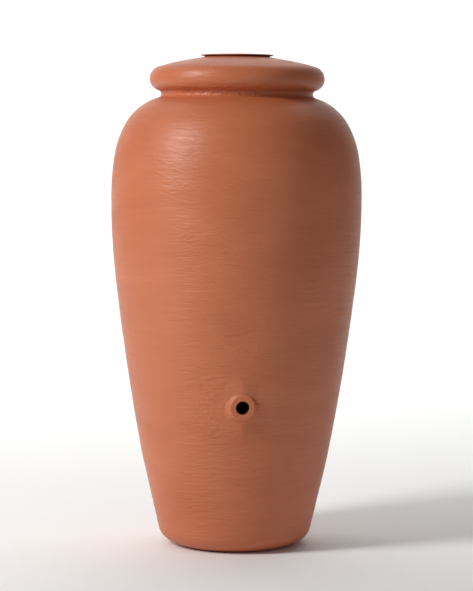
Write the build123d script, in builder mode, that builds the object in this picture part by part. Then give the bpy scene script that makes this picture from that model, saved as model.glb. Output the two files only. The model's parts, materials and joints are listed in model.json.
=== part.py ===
"""Rain barrel of the 300 litre class in the shape of a tall storage jar.

The barrel is one hollow moulding of even wall with a rolled rim, a shallow domed top
and a raised boss low on its front for a tap. A threaded brass bush sits in the boss.
The filling hole in the middle of the dome is closed by a thin lid on a rubber ring.
Three lugs on the lid's skirt drop through notches in the hole and lock by a part turn.

The origin is the middle of the base on the ground, +Z is up and the tap faces -Y.
Lengths are millimetres and angles are degrees.
"""

import os
from math import asin, cos, degrees, radians, sin, tan

from build123d import *

os.makedirs("parts", exist_ok=True)

# ---- barrel outline -------------------------------------------------------------------
WALL = 5.0
BELLY_RADIUS = 324.7
BELLY_HEIGHT = 903.0

# Each outline arc is (radius, turn), and each one starts where the last one ends, in line
# with it. A turn leads towards the barrel's axis, or away from it where it is negative.
LOWER_WALL = ((1850.0, 6.5), (6120.0, 4.2), (1135.0, 2.3))
BASE_CORNER = ((43.0, 36.0), (75.0, 22.0), (96.0, 19.0))
SHOULDER = ((682.0, 9.15), (245.0, 19.5), (146.0, 44.7))
NECK_GROOVE = ((8.8, -147.3),)
ROLLED_RIM = ((32.5, 146.6), (520.0, 5.2))
DOME = ((845.0, 5.6),)

# The middle of the base is drawn up a little, so that the barrel stands on a ring.
BASE_RECESS_RADIUS = 95.0
BASE_RECESS_DEPTH = 4.0
BASE_RECESS_SLOPE = 45.0

# ---- filling hole in the dome ---------------------------------------------------------
HOLE_RADIUS = 76.0
COLLAR_RADIUS = 85.0
COLLAR_TOP = 1265.0
COLLAR_THICKNESS = 7.5
COLLAR_ROUNDING = 1.0
NOTCH_RADIUS = 82.5
NOTCH_WIDTH = 30.0
STOP_THICKNESS = 4.0
STOP_DEPTH = 3.5
STOP_LENGTH = 7.0
STOP_SETBACK = 1.5
STOP_CLEARANCE_ANGLE = 2.6

# ---- sealing ring ---------------------------------------------------------------------
SEAL_THICKNESS = 2.2
SEAL_INNER_RADIUS = 75.0
SEAL_OUTER_RADIUS = 84.0
SEAL_ROUNDING = 0.6

# ---- lid ------------------------------------------------------------------------------
LID_RADIUS = 93.0
LID_EDGE = 2.4
LID_CROWN = 2.4
LID_ROUNDING = 0.8
SKIRT_RADIUS = 74.4
SKIRT_WALL = 3.0
SKIRT_DEPTH = 15.2
LUG_COUNT = 3
LUG_RADIUS = 81.0
LUG_WIDTH = 24.0
LUG_THICKNESS = 4.0
LUG_GAP = 0.8
FIRST_LUG = 90.0
LOCK_TURN = 40.0
GRIP_RADIUS = 50.0
GRIP_BAR = 24.0
GRIP_DEPTH = 9.5
GRIP_WALL = 2.5
GRIP_ROUNDING = 6.0

# ---- tap boss on the front ------------------------------------------------------------
TAP_HEIGHT = 388.0
BOSS_STAND = 12.0
BOSS_FACE_RADIUS = 31.0
BOSS_FOOT_RADIUS = 47.0
BOSS_DEPTH = 24.0
BOSS_ROUNDING = 3.0
SWELLING = (60.0, 110.0)
SWELLING_DEPTH = 8.0
SWELLING_TOP = (3.0, 86.0)
SWELLING_STAND = 5.0
TAP_HOLE_RADIUS = 17.0
STUB_RADIUS = 32.0
STUB_START = 5.0
STUB_END = 30.0

# ---- brass bush with a G 1 pipe thread, bored here to the thread's crests --------------
BUSH_START = 6.0
BUSH_LENGTH = 20.0
BUSH_RADIUS = 20.5
BUSH_BORE_RADIUS = 15.145
BUSH_MOUTH_CHAMFER = 1.2
BUSH_FLANGE_ACROSS = 46.0
BUSH_FLANGE_THICKNESS = 8.0

# Radii closer than this count as the same when edges are picked out.
SAME_RADIUS = 0.01

# ---- heights and places that follow ---------------------------------------------------
COLLAR_UNDERSIDE = COLLAR_TOP - COLLAR_THICKNESS
LID_UNDERSIDE = COLLAR_TOP + SEAL_THICKNESS
LID_EDGE_TOP = LID_UNDERSIDE + LID_EDGE
BARREL_HEIGHT = LID_EDGE_TOP + LID_CROWN
SKIRT_BOTTOM = LID_UNDERSIDE - SKIRT_DEPTH
LUG_TOP = COLLAR_UNDERSIDE - LUG_GAP
LUG_MIDDLE_RADIUS = (SKIRT_RADIUS + LUG_RADIUS) / 2
LUG_HALF_ANGLE = degrees(asin(LUG_WIDTH / 2 / LUG_MIDDLE_RADIUS))
STOP_ANGLE = LOCK_TURN + LUG_HALF_ANGLE + STOP_CLEARANCE_ANGLE


def wall_at(height):
    """Outer radius and lean of the wall at a height below the belly.

    On an arc that starts at lean a, a drop d leads to the lean whose sine is
    sin(a) + d / radius, and the wall comes in by radius * (cos(a) - cos(lean)).
    """
    across, up, lean = BELLY_RADIUS, BELLY_HEIGHT, 0.0
    for radius, turn in LOWER_WALL:
        end = lean + radians(turn)
        arc_drop = radius * (sin(end) - sin(lean))
        if up - arc_drop <= height:
            end = asin(sin(lean) + (up - height) / radius)
            return across + radius * (cos(end) - cos(lean)), degrees(end)
        across += radius * (cos(end) - cos(lean))
        up -= arc_drop
        lean = end
    return across - (up - height) * tan(lean), degrees(lean)


def draw_arcs(line, arcs, inset, side):
    """Carry the outline on from line along arcs, moved into the barrel by inset."""
    for radius, turn in arcs:
        offset_radius = radius - inset if turn > 0 else radius + inset
        line = JernArc(line @ 1, line % 1, offset_radius, side * turn)
    return line


def draw_half_outline(inset):
    """Half of the barrel's outline from the base to the filling hole, closed on the axis."""
    belly = (BELLY_RADIUS - inset, BELLY_HEIGHT)
    first_radius, first_turn = LOWER_WALL[0]
    lower = JernArc(belly, (0, -1), first_radius - inset, -first_turn)
    lower = draw_arcs(lower, LOWER_WALL[1:], inset, -1)

    lean = sum(turn for _, turn in LOWER_WALL)
    corner_height = inset
    corner_lean = lean
    for radius, turn in BASE_CORNER:
        rise = sin(radians(corner_lean + turn)) - sin(radians(corner_lean))
        corner_height += (radius - inset) * rise
        corner_lean += turn
    straight_length = ((lower @ 1).Y - corner_height) / cos(radians(lean))
    straight = Line(lower @ 1, lower @ 1 + (lower % 1) * straight_length)
    corner = draw_arcs(straight, BASE_CORNER, inset, -1)

    mitre = inset * tan(radians(BASE_RECESS_SLOPE / 2))
    step = BASE_RECESS_RADIUS + BASE_RECESS_DEPTH + mitre
    recess_height = inset + BASE_RECESS_DEPTH
    foot = Line(corner @ 1, (step, inset))
    recess = Polyline(foot @ 1, (step - BASE_RECESS_DEPTH, recess_height), (0, recess_height))

    first_radius, first_turn = SHOULDER[0]
    upper = JernArc(belly, (0, 1), first_radius - inset, first_turn)
    top = draw_arcs(upper, SHOULDER[1:] + NECK_GROOVE + ROLLED_RIM + DOME, inset, 1)
    Polyline(top @ 1, (0, (top @ 1).Y), recess @ 1)


wall_radius, wall_lean = wall_at(TAP_HEIGHT)
face_distance = wall_radius + BOSS_STAND


def tap_plane(depth):
    """Upright plane across the tap's axis, at a depth behind the boss's face."""
    return Plane(origin=(0, depth - face_distance, TAP_HEIGHT), x_dir=(1, 0, 0), z_dir=(0, -1, 0))


def lean_plane(stand):
    """Plane along the leaning wall at the tap, standing out from it by stand."""
    lean = radians(wall_lean)
    normal = Vector(0, -cos(lean), -sin(lean))
    middle = Vector(0, -wall_radius, TAP_HEIGHT) + normal * stand
    return Plane(origin=middle, x_dir=(1, 0, 0), z_dir=normal)


# ---- brass bush -----------------------------------------------------------------------
# Outside it is a plain sleeve with a hexagon round its middle, which keys it in the boss.
with BuildPart() as bush_outside:
    with BuildSketch(tap_plane(BUSH_START)):
        Circle(BUSH_RADIUS)
    extrude(amount=-BUSH_LENGTH)
    with BuildSketch(tap_plane(BUSH_START + (BUSH_LENGTH - BUSH_FLANGE_THICKNESS) / 2)):
        RegularPolygon(BUSH_FLANGE_ACROSS / 2, 6, major_radius=False)
    extrude(amount=-BUSH_FLANGE_THICKNESS)

with BuildPart() as tap_insert:
    add(bush_outside.part)
    with BuildSketch(tap_plane(BUSH_START)):
        Circle(BUSH_BORE_RADIUS)
    extrude(amount=-BUSH_LENGTH, mode=Mode.SUBTRACT)
    bore_rims = tap_insert.edges().filter_by(GeomType.CIRCLE)
    bore_rims = bore_rims.filter_by(lambda rim: abs(rim.radius - BUSH_BORE_RADIUS) < SAME_RADIUS)
    chamfer(bore_rims, length=BUSH_MOUTH_CHAMFER)

tap_insert.part.label = "tap_insert"
export_step(tap_insert.part, "parts/tap_insert.step")

# ---- barrel ---------------------------------------------------------------------------
# The space inside follows the outline one wall in, up to the flat ring round the hole.
with BuildPart() as cavity:
    with BuildSketch(Plane.XZ):
        with BuildLine():
            draw_half_outline(WALL)
        make_face()
    revolve(axis=Axis.Z)
    split(bisect_by=Plane.XY.offset(COLLAR_UNDERSIDE), keep=Keep.BOTTOM)

with BuildPart() as vessel:
    with BuildSketch(Plane.XZ):
        with BuildLine():
            draw_half_outline(0)
        make_face()
    revolve(axis=Axis.Z)

    # A low upright swelling runs into the wall above and below the boss.
    with BuildSketch(lean_plane(-SWELLING_DEPTH)):
        Ellipse(*SWELLING)
    with BuildSketch(lean_plane(SWELLING_STAND)):
        Ellipse(*SWELLING_TOP)
    loft()

    # The boss is a cone with a round upright face for the tap's washer.
    with BuildSketch(tap_plane(BOSS_DEPTH)):
        Circle(BOSS_FOOT_RADIUS)
    with BuildSketch(tap_plane(0)):
        Circle(BOSS_FACE_RADIUS)
    loft()
    face_rim = vessel.edges().filter_by(GeomType.CIRCLE)
    face_rim = face_rim.filter_by(lambda rim: abs(rim.radius - BOSS_FACE_RADIUS) < SAME_RADIUS)
    fillet(face_rim, radius=BOSS_ROUNDING)

    # A raised ring round the filling hole carries the seal.
    with BuildSketch(Plane.XY.offset(COLLAR_UNDERSIDE)):
        Circle(COLLAR_RADIUS)
    extrude(amount=COLLAR_THICKNESS)
    collar_rim = vessel.edges().filter_by(GeomType.CIRCLE).group_by(Axis.Z)[-1]
    fillet(collar_rim, radius=COLLAR_ROUNDING)

    add(cavity.part, mode=Mode.SUBTRACT)

    # A stub on the inside holds the bush and has the way into the barrel behind it.
    with BuildSketch(tap_plane(STUB_START)):
        Circle(STUB_RADIUS)
    extrude(amount=STUB_START - STUB_END)
    with BuildSketch(tap_plane(0)):
        Circle(TAP_HOLE_RADIUS)
    extrude(amount=-STUB_END, mode=Mode.SUBTRACT)
    add(bush_outside.part, mode=Mode.SUBTRACT)

    # The filling hole, with a notch for each lug of the lid.
    with BuildSketch(Plane.XY.offset(COLLAR_UNDERSIDE)):
        with PolarLocations(HOLE_RADIUS, LUG_COUNT, start_angle=FIRST_LUG):
            Rectangle(2 * (NOTCH_RADIUS - HOLE_RADIUS) + STOP_LENGTH, NOTCH_WIDTH)
        Circle(NOTCH_RADIUS, mode=Mode.INTERSECT)
        Circle(HOLE_RADIUS)
    extrude(amount=COLLAR_THICKNESS, mode=Mode.SUBTRACT)

    # Stops under the ring end the lid's turn.
    with BuildSketch(Plane.XY.offset(COLLAR_UNDERSIDE)):
        stop_middle = HOLE_RADIUS + STOP_SETBACK + STOP_LENGTH / 2
        with PolarLocations(stop_middle, LUG_COUNT, start_angle=FIRST_LUG - STOP_ANGLE):
            Rectangle(STOP_LENGTH, STOP_THICKNESS)
    extrude(amount=-STOP_DEPTH)

vessel.part.label = "vessel"
export_step(vessel.part, "parts/vessel.step")

# ---- sealing ring ---------------------------------------------------------------------
with BuildPart() as lid_seal:
    with BuildSketch(Plane.XY.offset(COLLAR_TOP)):
        Circle(SEAL_OUTER_RADIUS)
        Circle(SEAL_INNER_RADIUS, mode=Mode.SUBTRACT)
    extrude(amount=SEAL_THICKNESS)
    fillet(lid_seal.edges().filter_by(GeomType.CIRCLE), radius=SEAL_ROUNDING)

lid_seal.part.label = "lid_seal"
export_step(lid_seal.part, "parts/lid_seal.step")


# ---- lid ------------------------------------------------------------------------------
def draw_grip(growth):
    """Two half-moon finger wells either side of a bar across the lid, grown all round."""
    Circle(GRIP_RADIUS + growth)
    Rectangle(3 * GRIP_RADIUS, GRIP_BAR - 2 * growth, mode=Mode.SUBTRACT)


with BuildPart() as lid:
    with BuildSketch(Plane.XZ):
        with BuildLine():
            Line((0, LID_UNDERSIDE), (LID_RADIUS, LID_UNDERSIDE))
            Line((LID_RADIUS, LID_UNDERSIDE), (LID_RADIUS, LID_EDGE_TOP))
            crown_radius = (LID_RADIUS**2 + LID_CROWN**2) / (2 * LID_CROWN)
            crown_turn = degrees(asin(LID_RADIUS / crown_radius))
            JernArc((0, BARREL_HEIGHT), (1, 0), crown_radius, -crown_turn)
            Line((0, BARREL_HEIGHT), (0, LID_UNDERSIDE))
        make_face()
    revolve(axis=Axis.Z)
    lid_rims = lid.edges().filter_by(GeomType.CIRCLE)
    lid_rims = lid_rims.filter_by(lambda rim: abs(rim.radius - LID_RADIUS) < SAME_RADIUS)
    fillet(lid_rims, radius=LID_ROUNDING)

    # The skirt drops into the filling hole and carries the lugs.
    with BuildSketch(Plane.XY.offset(SKIRT_BOTTOM)):
        Circle(SKIRT_RADIUS)
        Circle(SKIRT_RADIUS - SKIRT_WALL, mode=Mode.SUBTRACT)
    extrude(until=Until.NEXT)
    with BuildSketch(Plane.XY.offset(LUG_TOP)):
        with PolarLocations(LUG_MIDDLE_RADIUS, LUG_COUNT, start_angle=FIRST_LUG):
            Rectangle(2 * (LUG_RADIUS - SKIRT_RADIUS), LUG_WIDTH)
        Circle(LUG_RADIUS, mode=Mode.INTERSECT)
        Circle(SKIRT_RADIUS - SKIRT_WALL / 2, mode=Mode.SUBTRACT)
    extrude(amount=-LUG_THICKNESS)

    # Each finger well is a pan below the lid, hollowed from above.
    with BuildSketch(Plane.XY.offset(BARREL_HEIGHT - GRIP_DEPTH - GRIP_WALL)) as pan:
        draw_grip(GRIP_WALL)
        fillet(pan.vertices(), radius=GRIP_ROUNDING + GRIP_WALL)
    extrude(until=Until.NEXT)
    with BuildSketch(Plane.XY.offset(BARREL_HEIGHT - GRIP_DEPTH)) as well:
        draw_grip(0)
        fillet(well.vertices(), radius=GRIP_ROUNDING)
    extrude(amount=GRIP_DEPTH, mode=Mode.SUBTRACT)

lid.part.label = "lid"
export_step(lid.part, "parts/lid.step")
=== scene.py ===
"""Looks of a terracotta-coloured rain barrel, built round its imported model.

Run it as a script in Blender. Every piece is worked out in metres in the frame of the
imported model: +Z is up, the base stands on the ground and the tap boss faces -Y.
"""

import json
import math

import bpy
import numpy as np
from bpy.props import FloatProperty, IntProperty, PointerProperty, StringProperty
from mathutils import Matrix, Vector


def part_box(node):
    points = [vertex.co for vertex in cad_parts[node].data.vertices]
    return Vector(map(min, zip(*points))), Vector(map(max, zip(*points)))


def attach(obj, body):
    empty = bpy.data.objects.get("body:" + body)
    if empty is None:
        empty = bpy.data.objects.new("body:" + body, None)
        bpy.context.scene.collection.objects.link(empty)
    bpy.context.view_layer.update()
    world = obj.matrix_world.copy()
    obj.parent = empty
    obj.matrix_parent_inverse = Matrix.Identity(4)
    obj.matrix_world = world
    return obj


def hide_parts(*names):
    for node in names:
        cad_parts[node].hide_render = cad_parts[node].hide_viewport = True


bl_info = {
    "name": "Rain barrel",
    "version": (1, 0, 0),
    "blender": (4, 5, 0),
    "location": "3D View > Sidebar > Rain barrel",
    "description": "Builds a moulded rain barrel with its lid, seal and tap bush, and a stage",
    "category": "Add Mesh",
}

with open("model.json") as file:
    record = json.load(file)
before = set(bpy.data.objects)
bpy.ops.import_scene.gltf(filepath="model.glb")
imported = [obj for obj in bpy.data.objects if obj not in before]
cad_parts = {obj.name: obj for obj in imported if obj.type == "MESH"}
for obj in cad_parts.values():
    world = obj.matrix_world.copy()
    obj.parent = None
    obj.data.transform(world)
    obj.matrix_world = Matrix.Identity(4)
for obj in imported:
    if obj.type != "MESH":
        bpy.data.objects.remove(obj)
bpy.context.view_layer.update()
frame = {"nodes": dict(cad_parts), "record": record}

MM = 0.001
FULL_TURN = 2 * math.pi
FRONT = -math.pi / 2
VESSEL_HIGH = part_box("vessel")[1]
MOUNTS = {mount["name"]: mount for mount in frame["record"]["mounts"]}

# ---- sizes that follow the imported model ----
WALL = 5.0 * MM
BELLY_RADIUS = VESSEL_HIGH.x
BELLY_HEIGHT = 903.0 * MM
COLLAR_TOP = VESSEL_HIGH.z
TAP_HEIGHT = MOUNTS["tap_thread"]["pos_m"][2]
TAP_FACE_Y = MOUNTS["tap_face"]["pos_m"][1]
THREAD_CREST = MOUNTS["tap_thread"]["dims"]["r_mm"] * MM

# Outline arcs are (radius in metres, turn in degrees), each in line with the one before.
# A turn leads towards the axis, or away from it where it is negative.
LOWER_WALL = ((1.850, 6.5), (6.120, 4.2), (1.135, 2.3))
BASE_CORNER = ((0.043, 36.0), (0.075, 22.0), (0.096, 19.0))
UPPER_WALL = (
    (0.682, 9.15), (0.245, 19.5), (0.146, 44.7),    # belly, shoulder
    (0.0088, -147.3),                               # groove under the rim
    (0.0325, 146.6), (0.520, 5.2),                  # rolled rim, edge of the dome
    (0.845, 5.6),                                   # dome
)
RECESS_RADIUS = 95.0 * MM
RECESS_DEPTH = 4.0 * MM
RECESS_SIDE = math.radians(45)

# Collar round the filling hole, and the hole with its notches for the lid's lugs.
HOLE_RADIUS = 76.0 * MM
HOLE_ROUNDING = 0.5 * MM
COLLAR_RADIUS = 85.0 * MM
COLLAR_THICKNESS = 7.5 * MM
COLLAR_UNDERSIDE = COLLAR_TOP - COLLAR_THICKNESS
COLLAR_ROUNDING = 1.0 * MM
FOOT_FILLET = (1.5 * MM, 0.6 * MM)
FOOT_STEP = 0.2 * MM
NOTCH_RADIUS = 82.5 * MM
NOTCH_WIDTH = 30.0 * MM
NOTCH_COUNT = 3
FIRST_NOTCH = math.radians(90)
LEDGE_RADIUS = NOTCH_RADIUS + 0.8 * MM

# Tap boss, from its face inwards.
BOSS_FACE_RADIUS = 31.0 * MM
BOSS_FACE_ROUNDING = 2.5 * MM
BOSS_SLOPE = 1.5
TAP_HOLE_RADIUS = 17.0 * MM
STUB_END = 30.0 * MM
STUB_SLOPE = 7.0
STUB_FILLET = 3.0 * MM
BUSH_START = 6.0 * MM
BUSH_LENGTH = 20.0 * MM
BUSH_RADIUS = 20.5 * MM
BUSH_FLANGE = (12.0 * MM, 20.0 * MM)
BUSH_HALF_WIDTH = 23.0 * MM
BUSH_CHAMFER = 0.6 * MM
POCKET_CLEARANCE = 0.1 * MM
KEY_REACH = 6.5 * MM
THREAD_PITCH = 2.309 * MM
THREAD_DEPTH = 1.479 * MM
THREAD_LEAD_IN = 1.5 * MM

# ---- meshing ----
OUTLINE_STEP = 0.5 * MM
NORMAL_REACH = 0.6 * MM
ARC_POINTS = 6
INNER_SPACING = 17.0 * MM
GROUND_TOUCH = 0.5 * MM
STANDING_RADIUS = 128.0 * MM
BOSS_LEVELS = (200.0 * MM, 600.0 * MM)
WINDOW_REACH = 57.0 * MM
FIRST_BOSS_RING = 51.0 * MM
# Radii in mm of the rings round the tap's axis, over the boss and over the stub inside.
BOSS_RINGS = (
    49, 47, 45, 43, 41, 39.2, 37.6, 36, 34.6, 33.4, 32.4, 31.6,
    31, 30.3, 29.4, 28.3, 25, 21, 18.2,
)
STUB_RINGS = (20, 26, 29.5, 31, 32, 33, 34.5, 37, 42)
# (beyond the hole's radius, below the face) in mm, over the rounded edge of the tap hole.
TAP_HOLE_EDGE = ((0.6, 0), (0.3, 0.08), (0.08, 0.3), (0, 0.6), (0, BUSH_START / MM))
BUSH_COLUMNS = 120
THREAD_ROWS = 88

# ---- relief of the skin ----
# Uneven relief in the mesh: (cells round the barrel, spacing up it, seed, share).
BROAD_UNEVENNESS = (7, 90 * MM, 11, 0.45)
ROUNDS = (10, 21 * MM, 23, 0.25)
RINGS = (14, 9.5 * MM, 37, 0.3)
LATTICE_ROWS = 4000
RING_WANDER = 2.5 * MM
GROUND_FADE = 12 * MM
COLLAR_FADE = 25 * MM
SWELLING_CREST = 1.2 * MM
SWELLING_REACH = 40 * MM
SWELLING_BLEND = 0.25
SWELLING_PLATEAU = 48 * MM
SWELLING_FADE = 50 * MM

# Cells of the patterns in the material, in metres (x, y, z): long round the barrel and
# low up it. The finest real lines are under a millimetre apart, so they are drawn coarser.
LINE_CELL = (0.100, 0.100, 0.0056)
TOOL_CELL = (0.028, 0.028, 0.0060)
SCORE_CELL = (0.110, 0.110, 0.020)
SCORE_PATCH_CELL = (0.16, 0.16, 0.13)
DENT_CELL = (0.013, 0.013, 0.009)
SWOOP_CELL = (0.070, 0.070, 0.0075)
SWOOP_SLANT = math.radians(-24)
GRAIN_CELL = (0.004, 0.004, 0.004)
GRAIN_DEPTH = 0.05 * MM
CLOUD_CELL = (0.30, 0.30, 0.12)
SWAY_CELL = (0.20, 0.20, 0.15)
LINE_SWAY = 0.028
SCORE_SWAY = 0.09

# Where the potter's hand shows most, in metres: (low, high, fade beyond both).
WORKED_X = (-0.13, 0.03, 0.07)
WORKED_Y = (-1.0, -0.12, 0.08)
SHOULDER_Z = (0.93, 1.15, 0.12)
NECK_Z = (1.166, 1.180, 0.012)
BESIDE_TAP_X = (-0.105, -0.055, 0.040)
BESIDE_TAP_Z = (0.31, 0.44, 0.06)
SWOOP_X = (-0.20, -0.04, 0.05)
SWOOP_Z = (0.92, 1.03, 0.06)
# Depths as shares of their settings: (more where the hand shows most, everywhere).
LINE_SHARES = (1.3, 0.7)
TOOL_SHARES = (1.7, 0.7)
SCORE_SHARES = (1.5, 1.0)
SHOULDER_CALM = 0.85
BESIDE_TAP_SHARE = 0.45
SCORE_WIDTH = 0.022
SCORE_PATCHES = (0.44, 0.58)
GLOSS_SPREAD = (-0.05, 0.06)

# ---- stage ----
COVE_REACH = 9.0
COVE_BACK = 5.0
COVE_BEND = 2.5
COVE_TOP = 9.0
COVE_COLUMNS = 12
BARREL_MIDDLE = (0, 0, 0.7)


# ---- colours and nodes ----
def linear(hex_colour):
    """A hex sRGB colour as linear RGBA."""
    value = np.array([int(hex_colour[i:i + 2], 16) / 255 for i in (1, 3, 5)])
    low = value / 12.92
    high = ((value + 0.055) / 1.055) ** 2.4
    return (*np.where(value <= 0.04045, low, high), 1.0)


def node(tree, kind, settings=None, inputs=None):
    """Add a node, set its properties, and set or link its inputs by name or number.

    An input given as a node is linked to that node's first output. The setting "stops"
    gives a colour ramp its (position, RGBA) stops.
    """
    made = tree.nodes.new(kind)
    for name, value in (settings or {}).items():
        if name != "stops":
            setattr(made, name, value)
            continue
        elements = made.color_ramp.elements
        for element, (position, colour) in zip(elements, (value[0], value[-1])):
            element.position, element.color = position, colour
        for position, colour in value[1:-1]:
            elements.new(position).color = colour
    for name, value in (inputs or {}).items():
        if isinstance(value, bpy.types.Node):
            value = value.outputs[0]
        if isinstance(value, bpy.types.NodeSocket):
            tree.links.new(value, made.inputs[name])
        else:
            made.inputs[name].default_value = value
    return made


def new_material(name):
    """A material with an empty tree, its Principled shader and its output."""
    material = bpy.data.materials.new(name)
    material.use_nodes = True
    tree = material.node_tree
    tree.nodes.clear()
    shader = node(tree, "ShaderNodeBsdfPrincipled")
    node(tree, "ShaderNodeOutputMaterial", None, {"Surface": shader})
    return material, tree, shader


def stretched(tree, cell, place=None, slant=0.0):
    """Object coordinates, or a given place, divided by a cell size in metres (x, y, z).

    Where a slant is given, the place is first turned by it about Y.
    """
    if place is None:
        place = node(tree, "ShaderNodeTexCoord").outputs["Object"]
    if slant:
        place = node(tree, "ShaderNodeMapping", None, {
            "Vector": place, "Rotation": (0.0, slant, 0.0),
        })
    return node(tree, "ShaderNodeMapping", None, {
        "Vector": place, "Scale": tuple(1 / size for size in cell),
    })


def swept_place(tree, rise):
    """Object coordinates moved up and down by slow noise, so that level lines sweep.

    The move is (noise - 0.5) times rise, in metres.
    """
    place = node(tree, "ShaderNodeTexCoord").outputs["Object"]
    sway = node(tree, "ShaderNodeTexNoise", None, {
        "Vector": stretched(tree, SWAY_CELL, place), "Scale": 1.0, "Detail": 1.0,
    })
    lift = node(tree, "ShaderNodeMath", {"operation": "MULTIPLY_ADD"}, {
        0: sway, 1: rise, 2: -rise / 2,
    })
    offset = node(tree, "ShaderNodeCombineXYZ", None, {"Z": lift})
    return node(tree, "ShaderNodeVectorMath", {"operation": "ADD"}, {0: place, 1: offset})


def between(tree, value, span):
    """1 where value lies in a (low, high, fade) span, fading to 0 beyond both ends."""
    low, high, fade = span
    rise = node(tree, "ShaderNodeMapRange", {"interpolation_type": "SMOOTHSTEP"}, {
        "Value": value, "From Min": low - fade, "From Max": low,
    })
    fall = node(tree, "ShaderNodeMapRange", {"interpolation_type": "SMOOTHSTEP"}, {
        "Value": value, "From Min": high, "From Max": high + fade,
        "To Min": 1.0, "To Max": 0.0,
    })
    return node(tree, "ShaderNodeMath", {"operation": "MULTIPLY"}, {0: rise, 1: fall})


# ---- materials ----
def terracotta_polyethylene(settings):
    """Through-coloured polyethylene, moulded in a hot turning mould.

    The mould's face was taken from a thrown clay jar, so the satin skin carries the
    potter's fine level throwing lines, a few slanting strokes and small pits. The colour
    is even, with faint paler and browner clouds, and gloss that varies along the lines.
    """
    material, tree, shader = new_material("terracotta_polyethylene")
    swept = swept_place(tree, LINE_SWAY)
    lines = node(tree, "ShaderNodeTexNoise", None, {
        "Vector": stretched(tree, LINE_CELL, swept), "Scale": 1.0, "Detail": 3.0,
        "Roughness": 0.55, "Distortion": 0.1,
    })
    clouds = node(tree, "ShaderNodeTexNoise", None, {
        "Vector": stretched(tree, CLOUD_CELL), "Scale": 1.0, "Detail": 3.0,
        "Roughness": 0.5, "Distortion": 0.6,
    })
    colour = node(tree, "ShaderNodeValToRGB", {"stops": (
        (0.30, linear(settings.deep_colour)), (0.52, linear(settings.body_colour)),
        (0.74, linear(settings.pale_colour)),
    )}, {"Fac": clouds})
    gloss = node(tree, "ShaderNodeMapRange", None, {
        "Value": lines, "From Min": 0.3, "From Max": 0.7,
        "To Min": settings.roughness + GLOSS_SPREAD[0],
        "To Max": settings.roughness + GLOSS_SPREAD[1],
    })
    relief = potters_relief(tree, settings, swept, lines)
    tree.links.new(colour.outputs["Color"], shader.inputs["Base Color"])
    tree.links.new(gloss.outputs["Result"], shader.inputs["Roughness"])
    tree.links.new(relief.outputs["Normal"], shader.inputs["Normal"])
    shader.inputs["IOR"].default_value = 1.5
    return material


def potters_relief(tree, settings, swept, lines):
    """Bumps of the potter's hand, one on another, deepest at the left of the tap.

    The throwing lines and the marks of the rib run level, the scores wind where a slow
    noise crosses its middle value, the dents sit in the neck and beside the tap, and the
    swoops slant over the left of the shoulder. Each depth is in metres.
    """
    tooling = node(tree, "ShaderNodeTexNoise", None, {
        "Vector": stretched(tree, TOOL_CELL, swept), "Scale": 1.0, "Detail": 2.0,
        "Roughness": 0.5, "Distortion": 0.15,
    })
    dents = node(tree, "ShaderNodeTexNoise", None, {
        "Vector": stretched(tree, DENT_CELL, swept), "Scale": 1.0, "Detail": 1.0,
    })
    swoops = node(tree, "ShaderNodeTexNoise", None, {
        "Vector": stretched(tree, SWOOP_CELL, swept, SWOOP_SLANT), "Scale": 1.0,
        "Detail": 2.0, "Roughness": 0.5, "Distortion": 0.3,
    })
    grain = node(tree, "ShaderNodeTexNoise", None, {
        "Vector": stretched(tree, GRAIN_CELL), "Scale": 1.0, "Detail": 2.0,
    })

    where = node(tree, "ShaderNodeSeparateXYZ", None, {
        "Vector": node(tree, "ShaderNodeTexCoord").outputs["Object"],
    })
    x, y, z = (where.outputs[name] for name in "XYZ")
    front = between(tree, y, WORKED_Y)
    worked = node(tree, "ShaderNodeMath", {"operation": "MULTIPLY"}, {
        0: between(tree, x, WORKED_X), 1: front,
    })
    calmed = node(tree, "ShaderNodeMath", {"operation": "MULTIPLY_ADD"}, {
        0: between(tree, z, SHOULDER_Z), 1: -SHOULDER_CALM, 2: 1.0,
    })
    tooled = node(tree, "ShaderNodeMath", {"operation": "MULTIPLY"}, {0: worked, 1: calmed})

    line_depth, tool_depth, score_depth = (
        node(tree, "ShaderNodeMath", {"operation": "MULTIPLY_ADD"}, {
            0: region, 1: more * depth, 2: base * depth,
        })
        for region, (more, base), depth in (
            (tooled, LINE_SHARES, settings.line_depth),
            (tooled, TOOL_SHARES, settings.tool_depth),
            (worked, SCORE_SHARES, settings.stroke_depth),
        )
    )

    neck = node(tree, "ShaderNodeMath", {"operation": "MULTIPLY"}, {
        0: between(tree, z, NECK_Z), 1: worked,
    })
    tap_level = node(tree, "ShaderNodeMath", {"operation": "MULTIPLY"}, {
        0: between(tree, z, BESIDE_TAP_Z), 1: front,
    })
    beside_tap = node(tree, "ShaderNodeMath", {"operation": "MULTIPLY"}, {
        0: between(tree, x, BESIDE_TAP_X), 1: tap_level,
    })
    kneaded = node(tree, "ShaderNodeMath", {"operation": "MULTIPLY_ADD"}, {
        0: beside_tap, 1: BESIDE_TAP_SHARE, 2: neck,
    })
    dent_depth = node(tree, "ShaderNodeMath", {"operation": "MULTIPLY"}, {
        0: kneaded, 1: settings.dent_depth,
    })

    swoop_level = node(tree, "ShaderNodeMath", {"operation": "MULTIPLY"}, {
        0: between(tree, z, SWOOP_Z), 1: front,
    })
    shoulder_side = node(tree, "ShaderNodeMath", {"operation": "MULTIPLY"}, {
        0: between(tree, x, SWOOP_X), 1: swoop_level,
    })
    swoop_depth = node(tree, "ShaderNodeMath", {"operation": "MULTIPLY"}, {
        0: shoulder_side, 1: settings.swoop_depth,
    })

    relief = None
    for height, depth in (
        (lines, line_depth), (tooling, tool_depth), (winding_scores(tree), score_depth),
        (dents, dent_depth), (swoops, swoop_depth), (grain, GRAIN_DEPTH),
    ):
        below = {"Normal": relief} if relief else {}
        relief = node(tree, "ShaderNodeBump", None, {
            "Height": height, "Strength": 1.0, "Distance": depth, **below,
        })
    return relief


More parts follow.
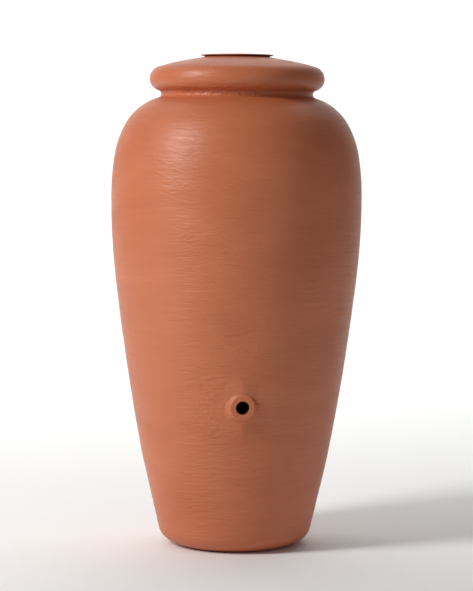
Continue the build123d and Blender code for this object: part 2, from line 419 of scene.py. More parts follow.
def winding_scores(tree):
    """Thin winding scores, 1 on a score and 0 off it, kept to a few patches.

    A score follows the line where a slow noise is 0.5: 1 - |noise - 0.5| / SCORE_WIDTH.
    """
    winding = node(tree, "ShaderNodeTexNoise", None, {
        "Vector": stretched(tree, SCORE_CELL, swept_place(tree, SCORE_SWAY)),
        "Scale": 1.0, "Detail": 0.0,
    })
    away = node(tree, "ShaderNodeMath", {"operation": "SUBTRACT"}, {0: winding, 1: 0.5})
    away = node(tree, "ShaderNodeMath", {"operation": "ABSOLUTE"}, {0: away})
    score = node(tree, "ShaderNodeMapRange", {"interpolation_type": "SMOOTHSTEP"}, {
        "Value": away, "From Min": 0.0, "From Max": SCORE_WIDTH, "To Min": 1.0, "To Max": 0.0,
    })
    patches = node(tree, "ShaderNodeTexNoise", None, {
        "Vector": stretched(tree, SCORE_PATCH_CELL), "Scale": 1.0, "Detail": 2.0,
    })
    kept = node(tree, "ShaderNodeMapRange", {"interpolation_type": "SMOOTHSTEP"}, {
        "Value": patches, "From Min": SCORE_PATCHES[0], "From Max": SCORE_PATCHES[1],
    })
    return node(tree, "ShaderNodeMath", {"operation": "MULTIPLY"}, {0: score, 1: kept})


def seal_rubber_and_gap_shade():
    """EPDM rubber, press moulded: nearly black, matt, with a faint dusty bloom. The ring's
    near-black is partly its own colour and partly painted shade: it darkens the gap under the
    lid's rim, where the real barrel has only shadow.
    """
    material, tree, shader = new_material("black_epdm_rubber")
    bloom = node(tree, "ShaderNodeTexNoise", None, {
        "Vector": stretched(tree, (0.012, 0.012, 0.012)), "Scale": 1.0, "Detail": 5.0,
    })
    # Near-black stops: the rubber's own colour, and also painted shade for the gap under the
    # lid's rim.
    colour = node(tree, "ShaderNodeValToRGB", {"stops": (
        (0.35, linear("#141312")), (0.75, linear("#24211f")),
    )}, {"Fac": bloom})
    tree.links.new(colour.outputs["Color"], shader.inputs["Base Color"])
    shader.inputs["Roughness"].default_value = 0.72
    shader.inputs["IOR"].default_value = 1.52
    return material


def brass_in_painted_shade():
    """Turned brass with fine tool rings round its axis. Its colour is painted far darker than
    bright brass as painted shade of the deep tap hole, with a random mottle.
    """
    material, tree, shader = new_material("dull_turned_brass")
    painted_shade_mottle = node(tree, "ShaderNodeTexNoise", None, {
        "Vector": stretched(tree, (0.006, 0.006, 0.006)), "Scale": 1.0, "Detail": 5.0,
    })
    # Both stops are painted shade: far darker than brass, so the bush deep in the tap hole
    # reads dark.
    colour = node(tree, "ShaderNodeValToRGB", {"stops": (
        (0.35, linear("#2c1d0e")), (0.70, linear("#5c4420")),
    )}, {"Fac": painted_shade_mottle})
    rings = node(tree, "ShaderNodeTexNoise", None, {
        "Vector": stretched(tree, (0.02, 0.0004, 0.02)), "Scale": 1.0, "Detail": 2.0,
    })
    relief = node(tree, "ShaderNodeBump", None, {
        "Height": rings, "Strength": 0.4, "Distance": 0.05 * MM,
    })
    tree.links.new(colour.outputs["Color"], shader.inputs["Base Color"])
    tree.links.new(relief.outputs["Normal"], shader.inputs["Normal"])
    shader.inputs["Metallic"].default_value = 1.0
    shader.inputs["Roughness"].default_value = 0.45
    return material


def studio_white():
    """Matt white paint on the studio's floor and wall."""
    material, _, shader = new_material("studio_white_paint")
    shader.inputs["Base Color"].default_value = linear("#fbfbfa")
    shader.inputs["Roughness"].default_value = 0.85
    return material


# ---- meshes ----
def mesh_object(name, points, quads, triangles=None, sharp=math.radians(38)):
    """Object at the origin from an array of points and arrays of corner numbers."""
    faces = quads.tolist() + ([] if triangles is None else triangles.tolist())
    mesh = bpy.data.meshes.new(name)
    mesh.from_pydata(points.tolist(), [], faces)
    mesh.shade_smooth()
    mesh.set_sharp_from_angle(angle=sharp)
    mesh.validate()
    made = bpy.data.objects.new(name, mesh)
    bpy.context.scene.collection.objects.link(made)
    return made


def grid_quads(ids, closed):
    """Corner numbers of the quads of a grid of vertex numbers, joined round if closed."""
    after = np.roll(ids, -1, axis=1)
    quads = np.stack([ids[:-1], after[:-1], after[1:], ids[1:]], axis=-1)
    return quads if closed else quads[:, :-1]


def carried_round(radius, height, angle):
    """Points (radius cos angle, radius sin angle, height), rows down and columns round."""
    radius, height, angle = np.broadcast_arrays(radius, height, angle)
    return np.stack([radius * np.cos(angle), radius * np.sin(angle), height], axis=-1)


def smooth_step(value):
    """0 below 0 and 1 above 1, by 3t^2 - 2t^3 between."""
    t = np.clip(value, 0, 1)
    return t * t * (3 - 2 * t)


def smooth_max(a, b, blend):
    """The larger of a and b, rounded by blend where they meet.

    Where n = (blend - |a - b|) / blend is above 0, n^2 blend / 4 is added.
    """
    near = np.maximum(blend - np.abs(a - b), 0) / blend
    return np.maximum(a, b) + near * near * blend / 4


def smooth_min(a, b, blend):
    """The smaller of a and b, rounded by blend where they meet: -smooth_max(-a, -b)."""
    return -smooth_max(-a, -b, blend)


def ring_noise(turn, height, cells, spacing, seed):
    """Smooth random relief from -1 to 1 that wraps round the barrel.

    Random values stand on a lattice of cells steps round and one row each spacing up.
    Between them the value is faded by 6t^5 - 15t^4 + 10t^3 both ways. turn is the angle
    round as a share of a full turn.
    """
    across = turn % 1.0 * cells
    up = height / spacing
    column = np.floor(across).astype(int)
    row = np.floor(up).astype(int)
    t, u = across - column, up - row
    t = t * t * t * (t * (t * 6 - 15) + 10)
    u = u * u * u * (u * (u * 6 - 15) + 10)
    row = row - row.min()
    lattice = np.random.default_rng(seed).uniform(-1, 1, (LATTICE_ROWS, cells))
    a = lattice[row, column % cells]
    b = lattice[row, (column + 1) % cells]
    c = lattice[row + 1, column % cells]
    d = lattice[row + 1, (column + 1) % cells]
    return (a * (1 - t) + b * t) * (1 - u) + (c * (1 - t) + d * t) * u


# ---- barrel outline ----
def follow_arcs(start, lean, arcs, inset, up):
    """Points (radius, height) along arcs from start, moved into the wall by inset.

    At lean a an arc of radius R lies at start + R (cos a - cos a0) across and
    R (sin a - sin a0) up, with R negative where the arc turns away from the axis.
    """
    across, height = start
    parts = []
    for radius, turn in arcs:
        bent = radius * np.sign(turn) - inset
        end = lean + math.radians(turn)
        count = int(abs(bent * (end - lean)) / OUTLINE_STEP) + 8
        a = np.linspace(lean, end, count)
        parts.append(np.stack([
            across + bent * (np.cos(a) - math.cos(lean)),
            height + up * bent * (np.sin(a) - math.sin(lean)),
        ], axis=1))
        across, height = parts[-1][-1]
        lean = end
    return np.concatenate(parts)


def straight(start, end):
    """Points start + t (end - start) along a straight line, a step apart."""
    start, end = np.array(start, float), np.array(end, float)
    count = int(np.linalg.norm(end - start) / OUTLINE_STEP) + 2
    return start + np.linspace(0, 1, count)[:, None] * (end - start)


def half_outline(inset):
    """Outline from the middle of the base, out and up the wall, to the top of the dome.

    It is worked out from the belly both ways. Below, the arcs of the wall run into a
    straight piece just long enough for the base's corner to end on the ground.
    """
    belly = (BELLY_RADIUS - inset, BELLY_HEIGHT)
    lower = follow_arcs(belly, 0.0, LOWER_WALL, inset, -1)
    lean = math.radians(sum(turn for _, turn in LOWER_WALL))
    corner = follow_arcs((0, 0), lean, BASE_CORNER, inset, -1)
    drop = lower[-1, 1] - inset + corner[-1, 1]
    foot = lower[-1] - np.array([math.tan(lean), 1.0]) * drop
    corner = corner + foot
    top = (RECESS_RADIUS + inset * math.tan(RECESS_SIDE / 2), RECESS_DEPTH + inset)
    ring = (top[0] + RECESS_DEPTH, inset)
    down = np.concatenate([
        lower, straight(lower[-1], foot)[1:], corner[1:], straight(corner[-1], ring)[1:],
        straight(ring, top)[1:], straight(top, (2 * MM, top[1]))[1:],
    ])
    upper = follow_arcs(belly, 0.0, UPPER_WALL, inset, 1)
    return np.concatenate([down[::-1], upper[1:]])


def lengths_along(points):
    """Length along a line of points up to each one: the running sum of its steps."""
    steps = np.linalg.norm(np.diff(points, axis=0), axis=1)
    return np.concatenate([[0], np.cumsum(steps)])


def sample(points, at):
    """Points and unit normals of a dense outline at given lengths along it.

    The normal is the direction of travel turned to its right, so it leaves the wall on
    the outside where the outline runs upwards.
    """
    moved = np.linalg.norm(np.diff(points, axis=0), axis=1) > 1e-9
    points = points[np.concatenate([[True], moved])]
    along = lengths_along(points)
    place, ahead, behind = (
        np.stack([np.interp(at + reach, along, points[:, k]) for k in (0, 1)], axis=1)
        for reach in (0.0, NORMAL_REACH, -NORMAL_REACH)
    )
    travel = ahead - behind
    travel /= np.linalg.norm(travel, axis=1)[:, None]
    return place, np.stack([travel[:, 1], -travel[:, 0]], axis=1)


def collar_outline(foot):
    """Points over the collar, from the end of the dome's outline to beside the notches.

    A quarter ellipse leads up into the collar's side, and a quarter round onto its top.
    """
    a = np.linspace(0, math.pi / 2, ARC_POINTS)
    reach, rise = FOOT_FILLET
    fillet = np.stack([
        COLLAR_RADIUS + reach * (1 - np.sin(a)),
        foot[1] + FOOT_STEP + rise * (1 - np.cos(a)),
    ], axis=1)
    top = np.stack([
        COLLAR_RADIUS - COLLAR_ROUNDING * (1 - np.cos(a)),
        COLLAR_TOP - COLLAR_ROUNDING * (1 - np.sin(a)),
    ], axis=1)
    return np.concatenate([fillet[1:], top, [[LEDGE_RADIUS, COLLAR_TOP]]])


# ---- surface of the barrel ----
def swelling(across, up, settings):
    """Low upright ridge that runs into the wall above and below the boss, in metres.

    Across it is a tent, 1 - |across| / reach, with a softened crest and foot. Up and
    down it fades by a smooth step past its plateau.
    """
    crest = np.sqrt(across ** 2 + SWELLING_CREST ** 2)
    tent = smooth_max(1 - crest / SWELLING_REACH, np.zeros_like(crest), SWELLING_BLEND)
    fade = 1 - smooth_step((np.abs(up) - SWELLING_PLATEAU) / SWELLING_FADE)
    return settings.swelling * tent * fade


def skin_relief(turn, along, settings):
    """Relief of the mould's face: a slow unevenness, rounds and throwing rings.

    The rounds and rings wander by a sine of two waves round the barrel. The sum of the
    noises runs from -1 to 1, and 1 is taken off, so the relief only goes inwards.
    """
    wander = RING_WANDER * np.sin(FULL_TURN * (2 * turn + along * 1.7))
    relief = -1.0
    for (cells, spacing, seed, share), moved in (
        (BROAD_UNEVENNESS, 0.0), (ROUNDS, wander), (RINGS, wander),
    ):
        relief = relief + share * ring_noise(turn, along + moved, cells, spacing, seed)
    return settings.unevenness * relief


def outside_rows(outer, length, settings):
    """Lengths along the outer outline where the skin has rows, and where even rows start.

    A few rows cross the recess and the ring that the barrel stands on. From the base's
    corner up they stand row_spacing apart, and the last one is the outline's end.
    """
    ground = length[np.argmax(outer[:, 1] < GROUND_TOUCH)]
    corner = length[np.argmax(outer[:, 0] > STANDING_RADIUS)]
    return np.concatenate([
        np.linspace(0, ground - 1 * MM, 4), [ground], np.linspace(ground + 1 * MM, corner, 5),
        np.arange(corner + 3 * MM, length[-1] - 1 * MM, settings.row_spacing), [length[-1]],
    ]), corner


def inside_rows(inner, highest, lowest, count):
    """Lengths down the inner outline where the inner wall has rows.

    Between the heights highest and lowest it has count rows, for the tap's window, and
    elsewhere one every INNER_SPACING. Also gives the number of the window's first row.
    """
    length = lengths_along(inner)
    upper, lower = np.interp((-highest, -lowest), -inner[:, 1], length)
    above = np.arange(1 * MM, upper - 10 * MM, INNER_SPACING)
    below = np.arange(lower + 15 * MM, length[-1] - 8 * MM, INNER_SPACING)
    beside = np.linspace(upper, lower, count)
    return np.concatenate([above, beside, below, [length[-1]]]), len(above)


def column_angles(count):
    """Angles of the columns round the axis, closest at the front, where the boss is.

    A share s from -1 to 1 stands at pi (s - sin(pi s) / (2 pi)) from the front.
    """
    share = np.linspace(-1, 1, count, endpoint=False)
    return FRONT + math.pi * (share - 0.5 * np.sin(math.pi * share) / math.pi)


def moulded_skin(rows, outline, normal, angle, settings):
    """The outer skin: the outline carried round, moved along its normals by the relief.

    The relief fades out by a smooth step at the ground and at the collar. The swelling
    stands on the front half only.
    """
    fade = smooth_step((outline[:, 1] - GROUND_TOUCH) / GROUND_FADE)
    fade *= smooth_step((rows[-1] - rows) / COLLAR_FADE)
    radius, height = outline[:, 0:1], outline[:, 1:2]
    across = radius * np.sin(angle - FRONT)
    front = np.cos(angle - FRONT) > 0
    depth = skin_relief(angle / FULL_TURN, rows[:, None], settings) * fade[:, None]
    depth = depth + swelling(across, height - TAP_HEIGHT, settings) * front
    return carried_round(
        radius + depth * normal[:, 0:1], height + depth * normal[:, 1:2], angle)


def notched_hole(angle):
    """Radius and angle of the filling hole's edge for each column.

    Inside a notch the edge lies at the notch's radius. The two columns either side of a
    notch's side are drawn onto its ends, so that the side is straight.
    """
    radius = np.full(len(angle), HOLE_RADIUS)
    edge_angle = angle.copy()
    outer_half = math.asin(NOTCH_WIDTH / 2 / HOLE_RADIUS)
    inner_half = math.asin(NOTCH_WIDTH / 2 / NOTCH_RADIUS)
    for k in range(NOTCH_COUNT):
        centre = FIRST_NOTCH + FULL_TURN * k / NOTCH_COUNT
        offset = (angle - centre + math.pi) % FULL_TURN - math.pi
        inside = np.abs(offset) < (outer_half + inner_half) / 2
        radius[inside] = NOTCH_RADIUS
        for side in (-1, 1):
            within = np.flatnonzero(inside & (offset * side > 0))
            nearest = within[np.argmax(np.abs(offset[within]))]
            edge_angle[nearest] += side * inner_half - offset[nearest]
            beyond = np.flatnonzero(~inside & (offset * side > 0))
            nearest = beyond[np.argmin(np.abs(offset[beyond]))]
            edge_angle[nearest] += side * outer_half - offset[nearest]
    return radius, edge_angle


def hole_edge(angle):
    """Rows of the filling hole's edge: a quarter round at its top, then its underside."""
    radius, edge_angle = notched_hole(angle)
    a = np.linspace(0, math.pi / 2, ARC_POINTS)[:, None]
    rounded = carried_round(
        radius + HOLE_ROUNDING - HOLE_ROUNDING * np.sin(a),
        COLLAR_TOP - HOLE_ROUNDING * (1 - np.cos(a)), edge_angle)
    return np.concatenate([rounded, carried_round(radius, COLLAR_UNDERSIDE, edge_angle)[None]])


def window_loop(ids, bottom, top, left, right):
    """Vertex numbers round a window, from its lower left corner to the right and up."""
    step = 1 if top > bottom else -1
    rows = np.arange(bottom, top + step, step)
    columns = np.arange(left, right + 1)
    return np.concatenate([
        ids[bottom, columns[:-1]], ids[rows[:-1], right],
        ids[top, columns[:0:-1]], ids[rows[:0:-1], left],
    ])


def boss_outside(x, z, outer, length, settings):
    """Points of the boss outside, at x across and z up from the tap's axis.

    The depth along Y is the larger of the wall's and the cone's, rounded where they
    meet. The wall's is sqrt(radius^2 - x^2) with its relief, and the cone's falls from
    the face by BOSS_SLOPE times the distance past the face's edge.
    """
    beside = (outer[:, 1] > BOSS_LEVELS[0]) & (outer[:, 1] < BOSS_LEVELS[1])
    radius = np.interp(TAP_HEIGHT + z, outer[beside, 1], outer[beside, 0])
    along = np.interp(TAP_HEIGHT + z, outer[beside, 1], length[beside])
    turn = np.arctan2(-radius, x) / FULL_TURN
    relief = skin_relief(turn, along, settings) + swelling(x, z, settings)
    wall = np.sqrt(radius ** 2 - x ** 2) + relief

    distance = np.hypot(x, z)
    past = smooth_max(distance - BOSS_FACE_RADIUS, np.zeros_like(distance), BOSS_FACE_ROUNDING)
    depth = smooth_max(wall, -TAP_FACE_Y - BOSS_SLOPE * past, settings.boss_fillet)
    depth = np.where(distance < BOSS_FACE_RADIUS - BOSS_FACE_ROUNDING, -TAP_FACE_Y, depth)
    return np.stack([x, -depth, TAP_HEIGHT + z], axis=-1)


def stub_inside(x, z, inner):
    """Points of the stub inside, at x across and z up from the tap's axis.

    The depth along Y is the smaller of the inner wall's and the stub's, rounded where
    they meet. The stub's side rises from its end by STUB_SLOPE past its edge.
    """
    beside = (inner[:, 1] > BOSS_LEVELS[0]) & (inner[:, 1] < BOSS_LEVELS[1])
    radius = np.interp(-(TAP_HEIGHT + z), -inner[beside, 1], inner[beside, 0])
    end = -TAP_FACE_Y - STUB_END
    distance = np.hypot(x, z)
    side = end + STUB_SLOPE * np.maximum(distance - BOSS_FACE_RADIUS, 0)
    depth = smooth_min(np.sqrt(radius ** 2 - x ** 2), side, STUB_FILLET)
    depth = np.where(distance < BOSS_FACE_RADIUS - 1 * MM, end, depth)
    return np.stack([x, -depth, TAP_HEIGHT + z], axis=-1)


def boss_rings(outer_loop, outer, length, inner, settings):
    """Rings of points from the window outside, over the boss and through its hole.

    Each ring has a point for each one of the window's loop, in the same direction from
    the tap's axis: (radius ux, depth, radius uz).
    """
    across, up = outer_loop[:, 0], outer_loop[:, 2] - TAP_HEIGHT
    reach = np.hypot(across, up)
    ux, uz = across / reach, up / reach

    rings = []
    for share in (0.34, 0.67, 1.0):
        x = across + (FIRST_BOSS_RING * ux - across) * share
        z = up + (FIRST_BOSS_RING * uz - up) * share
        rings.append(boss_outside(x, z, outer, length, settings))
    for radius in BOSS_RINGS:
        rings.append(boss_outside(radius * MM * ux, radius * MM * uz, outer, length, settings))

    pocket = BUSH_RADIUS + POCKET_CLEARANCE
    keyed = BUSH_RADIUS + KEY_REACH
    flange_start, flange_end = BUSH_FLANGE
    bush_end = BUSH_START + BUSH_LENGTH
    for radius, depth in (
        *((TAP_HOLE_RADIUS + out * MM, below * MM) for out, below in TAP_HOLE_EDGE),
        (pocket, BUSH_START), (pocket, flange_start), (keyed, flange_start),
        (keyed, flange_end), (pocket, flange_end), (pocket, bush_end),
        (TAP_HOLE_RADIUS, bush_end), (TAP_HOLE_RADIUS, STUB_END),
    ):
        level = np.full_like(ux, depth + TAP_FACE_Y)
        rings.append(np.stack([radius * ux, level, TAP_HEIGHT + radius * uz], axis=-1))
    for radius in STUB_RINGS:
        rings.append(stub_inside(radius * MM * ux, radius * MM * uz, inner))
    return np.array(rings)


def make_vessel(settings):
    """The barrel: its closed section carried round the axis, with a patch for the boss.

    The section runs from the middle of the base up the outside, over the collar, through
    the filling hole and down the inside to the middle again. A window is left in both
    walls at the front, and the rings of the boss and its hole join the two windows.
    """
    # Outlines, cut where the collar starts and where its underside ends.
    outer, inner = half_outline(0), half_outline(WALL)[::-1]
    on_dome = outer[:, 1] > BELLY_HEIGHT
    collar_starts = np.argmax(on_dome & (outer[:, 0] < COLLAR_RADIUS + FOOT_FILLET[0]))
    outer = outer[:collar_starts]
    inner = inner[np.argmax(inner[:, 1] < COLLAR_UNDERSIDE):]
    collar = collar_outline(outer[-1])
    underside = np.array([[LEDGE_RADIUS, COLLAR_UNDERSIDE], [inner[0, 0], COLLAR_UNDERSIDE]])

    # Rows of both walls, with the same number beside the tap.
    length = lengths_along(outer)
    rows, corner = outside_rows(outer, length, settings)
    outside, normal = sample(outer, rows)
    beside = (np.abs(outside[:, 1] - TAP_HEIGHT) < WINDOW_REACH) & (rows > corner)
    low_row, high_row = np.flatnonzero(beside)[[0, -1]]
    inner_rows, window_row = inside_rows(
        inner, outside[high_row, 1], outside[low_row, 1], high_row - low_row + 1)
    inside, _ = sample(inner, inner_rows)

    # The section carried round.
    count = settings.columns
    angle = column_angles(count)
    parts = [
        moulded_skin(rows, outside, normal, angle, settings),
        carried_round(collar[:, 0:1], collar[:, 1:2], angle),
        hole_edge(angle),
        carried_round(underside[:, 0:1], underside[:, 1:2], angle),
    ]
    inner_top = sum(len(part) for part in parts) + window_row
    inner_bottom = inner_top + high_row - low_row
    grid = np.concatenate([*parts, carried_round(inside[:, 0:1], inside[:, 1:2], angle)])
    points = grid.reshape(-1, 3)
    ids = np.arange(len(points)).reshape(-1, count)
    quads = grid_quads(ids, True)

    # Windows in both walls, and the rings that join them.
    middle = count // 2
    half = int(np.argmax(angle[middle:] - FRONT > WINDOW_REACH / outside[low_row, 0]))
    left, right = middle - half, middle + half
    keep = np.ones(quads.shape[:2], bool)
    keep[low_row:high_row, left:right] = False
    keep[inner_top:inner_bottom, left:right] = False
    outer_loop = window_loop(ids, low_row, high_row, left, right)
    inner_loop = window_loop(ids, inner_bottom, inner_top, left, right)
    rings = boss_rings(points[outer_loop], outer, length, inner, settings)
    ring_ids = len(points) + np.arange(len(rings) * len(outer_loop)).reshape(len(rings), -1)
    strip = np.concatenate([[outer_loop], ring_ids, [inner_loop]])
    points = np.concatenate([points, rings.reshape(-1, 3)])

    # Poles close the section on the axis at both ends.
    poles = len(points) + np.arange(2)
    points = np.concatenate([points, [[0, 0, outside[0, 1]], [0, 0, inside[-1, 1]]]])
    first, last = ids[0], ids[-1]
    caps = np.concatenate([
        np.stack([np.full(count, poles[0]), np.roll(first, -1), first], axis=1),
        np.stack([np.full(count, poles[1]), last, np.roll(last, -1)], axis=1),
    ])
    faces = np.concatenate([quads[keep], grid_quads(strip, True).reshape(-1, 4)])

    # Vertices inside the windows carry no face, so they go.
    used = np.zeros(len(points), bool)
    used[faces.ravel()] = True
    used[caps.ravel()] = True
    number = np.cumsum(used) - 1
    return mesh_object("vessel_skin", points[used], number[faces], number[caps])


# ---- brass bush ----
def make_bush():
    """The bush: a sleeve with a hexagon outside and a helical pipe thread inside.

    The bore's radius is the crest's radius plus the thread's depth times a rounded
    triangle wave of (length / pitch + angle / full turn). At both ends it widens to the
    thread's full depth.
    """
    angle = np.linspace(0, FULL_TURN, BUSH_COLUMNS, endpoint=False)
    depth = np.linspace(0, BUSH_LENGTH, THREAD_ROWS)[:, None]
    phase = (depth / THREAD_PITCH + angle / FULL_TURN) % 1.0
    wave = smooth_step((1 - np.abs(2 * phase - 1)) * 1.3 - 0.15)
    lead_in = np.clip(1 - np.minimum(depth, BUSH_LENGTH - depth) / THREAD_LEAD_IN, 0, 1)
    bore = THREAD_CREST + THREAD_DEPTH * np.maximum(wave, lead_in)

    # A hexagon's radius is its half width over the cosine of the angle from a flat.
    from_flat = (angle + math.pi / 6) % (math.pi / 3) - math.pi / 6
    hexagon = BUSH_HALF_WIDTH / np.cos(from_flat)
    sleeve = np.full(BUSH_COLUMNS, BUSH_RADIUS)
    low, high = (level - BUSH_START for level in BUSH_FLANGE)
    outside = (
        (sleeve, BUSH_LENGTH), (sleeve, high), (hexagon, high), (hexagon, low),
        (sleeve, low), (sleeve, BUSH_CHAMFER), (sleeve - BUSH_CHAMFER, 0.0),
    )
    radii = np.concatenate([bore, np.array([radius for radius, _ in outside])])
    depths = np.concatenate([depth[:, 0], [level for _, level in outside]])
    y = TAP_FACE_Y + BUSH_START + depths
    points = np.stack([
        radii * np.cos(angle),
        np.broadcast_to(y[:, None], radii.shape),
        TAP_HEIGHT + radii * np.sin(angle),
    ], axis=-1)
    ids = np.arange(radii.size).reshape(radii.shape)
    ids = np.concatenate([ids, ids[:1]])
    quads = grid_quads(ids, True).reshape(-1, 4)
    return mesh_object("tap_bush", points.reshape(-1, 3), quads, sharp=math.radians(30))


# ---- stage ----
def soft_light(name, place, target, size, power):
    """A white rectangular area light at place, facing target, of a size in metres."""
    data = bpy.data.lights.new(name, "AREA")
    data.shape = "RECTANGLE"
    data.size, data.size_y = size
    data.energy = power
    made = bpy.data.objects.new(name, data)
    bpy.context.scene.collection.objects.link(made)
    made.location = place
    made.rotation_euler = (Vector(target) - Vector(place)).to_track_quat("-Z", "Y").to_euler()


def make_cove():
    """Floor and back wall in one sheet: flat, a quarter round, then upright.

    The bend is (back + bend sin a, bend (1 - cos a)) for a from 0 to a quarter turn.
    """
    a = np.linspace(0, math.pi / 2, 24)
    floor = np.stack([np.linspace(-COVE_REACH, COVE_BACK, 20), np.zeros(20)], axis=1)
    bend = np.stack([COVE_BACK + COVE_BEND * np.sin(a), COVE_BEND * (1 - np.cos(a))], axis=1)
    upright = np.linspace(COVE_BEND, COVE_TOP, 8)
    wall = np.stack([np.full(8, COVE_BACK + COVE_BEND), upright], axis=1)
    profile = np.concatenate([floor, bend[1:], wall[1:]])
    sides = np.linspace(COVE_REACH, -COVE_REACH, COVE_COLUMNS)
    points = np.stack(np.broadcast_arrays(sides, profile[:, 0:1], profile[:, 1:2]), axis=-1)
    ids = np.arange(len(profile) * COVE_COLUMNS).reshape(-1, COVE_COLUMNS)
    quads = grid_quads(ids, False).reshape(-1, 4)[:, ::-1]
    return mesh_object("studio_cove", points.reshape(-1, 3), quads)


def make_camera(settings):
    """Camera at the viewing distance, turned a little to the left of the tap."""
    data = bpy.data.cameras.new("camera")
    data.sensor_fit = "VERTICAL"
    data.sensor_height = 36.0
    data.lens = settings.lens
    data.clip_end = 100
    camera = bpy.data.objects.new("camera", data)
    bpy.context.scene.collection.objects.link(camera)
    azimuth, distance = settings.camera_azimuth, settings.camera_distance
    place = Vector((
        distance * math.sin(azimuth), -distance * math.cos(azimuth), settings.camera_height,
    ))
    level = Matrix.Rotation(azimuth + settings.camera_yaw, 4, "Z")
    pitch = Matrix.Rotation(math.pi / 2 - settings.camera_pitch, 4, "X")
    roll = Matrix.Rotation(settings.camera_roll, 4, "Z")
    camera.matrix_world = Matrix.Translation(place) @ level @ pitch @ roll
    bpy.context.scene.camera = camera


# ---- settings ----
class BarrelSettings(bpy.types.PropertyGroup):
    """Finish of the barrel's pieces."""

    body_colour: StringProperty(
        name="Body colour", description="Colour of the plastic, as hex sRGB",
        default="#c26d47")
    deep_colour: StringProperty(
        name="Deep colour", description="Browner clouds in the plastic, as hex sRGB",
        default="#bb6640")
    pale_colour: StringProperty(
        name="Pale colour", description="Paler clouds in the plastic, as hex sRGB",
        default="#c8734d")
    roughness: FloatProperty(
        name="Roughness", description="Dullness of the moulded skin",
        default=0.44, min=0, max=1, subtype="FACTOR")
    unevenness: FloatProperty(
        name="Unevenness", description="Half the depth of the hand-thrown relief",
        default=0.5 * MM, unit="LENGTH")
    line_depth: FloatProperty(
        name="Line depth", description="Depth of the finest throwing lines",
        default=0.9 * MM, unit="LENGTH")
    tool_depth: FloatProperty(
        name="Tool depth", description="Depth of the short marks of the potter's rib",
        default=0.9 * MM, unit="LENGTH")
    dent_depth: FloatProperty(
        name="Dent depth", description="Depth of the dents kneaded into the neck",
        default=5.0 * MM, unit="LENGTH")
    swoop_depth: FloatProperty(
        name="Swoop depth", description="Depth of the slanting sweeps on the shoulder",
        default=1.0 * MM, unit="LENGTH")
    stroke_depth: FloatProperty(
        name="Stroke depth", description="Depth of the winding scores",
        default=0.14 * MM, unit="LENGTH")
    swelling: FloatProperty(
        name="Swelling", description="Height of the ridge above and below the boss",
        default=6.0 * MM, unit="LENGTH")
    boss_fillet: FloatProperty(
        name="Boss fillet", description="Rounding between the boss and the wall",
        default=4 * MM, unit="LENGTH")
    row_spacing: FloatProperty(
        name="Row spacing", description="Distance between rows of the outer skin",
        default=3.1 * MM, unit="LENGTH")
    columns: IntProperty(
        name="Columns", description="Columns round the barrel", default=132, min=48)


class StageSettings(bpy.types.PropertyGroup):
    """Studio floor, lights and camera."""

    camera_distance: FloatProperty(
        name="Distance", description="From the barrel's axis", default=5.72, unit="LENGTH")
    camera_height: FloatProperty(
        name="Height", description="Above the floor", default=1.077, unit="LENGTH")
    camera_azimuth: FloatProperty(
        name="Azimuth", description="Round the axis from the tap",
        default=math.radians(-3.85), unit="ROTATION")
    camera_pitch: FloatProperty(
        name="Pitch", description="Down from level",
        default=math.radians(4.296), unit="ROTATION")
    camera_roll: FloatProperty(
        name="Roll", description="About the line of sight",
        default=math.radians(0.35), unit="ROTATION")
    camera_yaw: FloatProperty(
        name="Yaw", description="Small turn that places the barrel in the view",
        default=math.radians(-0.016), unit="ROTATION")
    lens: FloatProperty(
        name="Lens", description="Focal length in millimetres", default=134.4)
    key_power: FloatProperty(
        name="Key light", description="Power of the large light at the left",
        default=215, unit="POWER")
    fill_power: FloatProperty(
        name="Fill light", description="Power of the weak light at the front right",
        default=10, unit="POWER")
    wall_power: FloatProperty(
        name="Wall light", description="Power of the light on the wall behind",
        default=330, unit="POWER")
    air_strength: FloatProperty(
        name="Air", description="Strength of the even light all round", default=0.16)


# ---- operators ----
def finish_piece(piece, material, body, replaced):
    """Give a new piece its material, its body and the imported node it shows."""
    piece.data.materials.append(material)
    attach(piece, body)
    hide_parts(replaced)


def coat_node(name, material):
    """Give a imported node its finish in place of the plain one."""
    obj = frame["nodes"][name]
    if not obj.material_slots:
        obj.data.materials.append(material)
    for used in obj.material_slots:
        used.material = material


class RAINBARREL_OT_vessel(bpy.types.Operator):
    """Build the barrel's moulded shell with its boss and filling hole"""

    bl_idname = "rainbarrel.vessel"
    bl_label = "Build vessel"

    def execute(self, context):
        settings = context.scene.rain_barrel
        vessel = make_vessel(settings)
        finish_piece(vessel, terracotta_polyethylene(settings), "barrel", "vessel")
        return {"FINISHED"}


class RAINBARREL_OT_bush(bpy.types.Operator):
    """Build the threaded brass bush in the tap boss"""

    bl_idname = "rainbarrel.bush"
    bl_label = "Build tap bush"

    def execute(self, context):
        # The bush's brass colour is painted dark as shade of the deep tap hole.
        finish_piece(make_bush(), brass_in_painted_shade(), "barrel", "tap_insert")
        return {"FINISHED"}


class RAINBARREL_OT_lid(bpy.types.Operator):
    """Finish the lid and its sealing ring"""

    bl_idname = "rainbarrel.lid"
    bl_label = "Build lid and seal"

    def execute(self, context):
        coat_node("lid", bpy.data.materials["terracotta_polyethylene"])
        # The seal's near-black also serves as painted shade in the gap under the lid's rim.
        coat_node("lid_seal", seal_rubber_and_gap_shade())
        return {"FINISHED"}


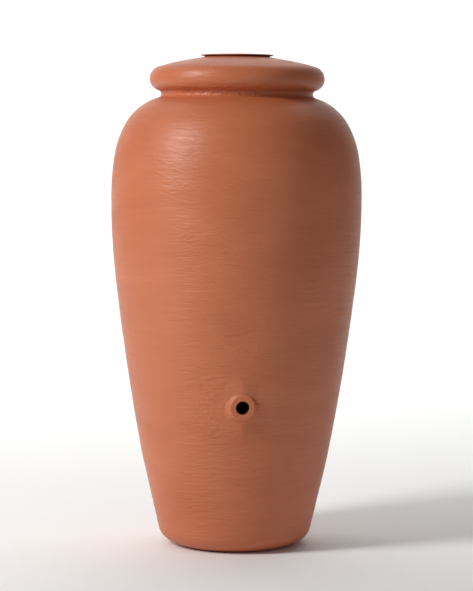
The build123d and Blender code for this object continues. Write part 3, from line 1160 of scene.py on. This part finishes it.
class RAINBARREL_OT_stage(bpy.types.Operator):
    """Build the studio floor, the lights and the camera"""

    bl_idname = "rainbarrel.stage"
    bl_label = "Build stage"

    def execute(self, context):
        settings = context.scene.rain_barrel_stage
        cove = make_cove()
        cove.data.materials.append(studio_white())
        world = bpy.data.worlds.new("studio_air")
        context.scene.world = world
        world.use_nodes = True
        background = world.node_tree.nodes["Background"]
        background.inputs["Color"].default_value = linear("#ffffff")
        background.inputs["Strength"].default_value = settings.air_strength
        for name, place, target, size, power in (
            ("key_light", (-4.05, -2.15, 3.4), BARREL_MIDDLE, (1.2, 2.6), settings.key_power),
            ("fill_light", (2.2, -4.2, 1.4), BARREL_MIDDLE, (2.6, 2.6), settings.fill_power),
            ("wall_light", (0, 2.6, 5.5), (0, 7.5, 1.0), (8, 1.5), settings.wall_power),
        ):
            soft_light(name, place, target, size, power)
        make_camera(settings)
        context.scene.view_settings.view_transform = "Standard"
        return {"FINISHED"}


class RAINBARREL_PT_panel(bpy.types.Panel):
    """Panel with the barrel's settings and operators"""

    bl_idname = "RAINBARREL_PT_panel"
    bl_label = "Rain barrel"
    bl_space_type = "VIEW_3D"
    bl_region_type = "UI"
    bl_category = "Rain barrel"

    def draw(self, context):
        """List every setting of both groups, then every operator."""
        layout = self.layout
        for group in (context.scene.rain_barrel, context.scene.rain_barrel_stage):
            column = layout.column()
            for name in group.__annotations__:
                column.prop(group, name)
        for operator in OPERATORS:
            layout.operator(operator.bl_idname)


GROUPS = (BarrelSettings, StageSettings)
OPERATORS = (RAINBARREL_OT_vessel, RAINBARREL_OT_bush, RAINBARREL_OT_lid, RAINBARREL_OT_stage)


def register():
    """Register the classes and hang both groups of settings on the scene."""
    for cls in (*GROUPS, *OPERATORS, RAINBARREL_PT_panel):
        bpy.utils.register_class(cls)
    bpy.types.Scene.rain_barrel = PointerProperty(type=BarrelSettings)
    bpy.types.Scene.rain_barrel_stage = PointerProperty(type=StageSettings)


def unregister():
    """Undo register."""
    del bpy.types.Scene.rain_barrel_stage
    del bpy.types.Scene.rain_barrel
    for cls in (RAINBARREL_PT_panel, *reversed(OPERATORS), *reversed(GROUPS)):
        bpy.utils.unregister_class(cls)


def main():
    """Build every piece and the stage."""
    register()
    bpy.ops.rainbarrel.vessel()
    bpy.ops.rainbarrel.bush()
    bpy.ops.rainbarrel.lid()
    bpy.ops.rainbarrel.stage()


if __name__ == "__main__":
    main()
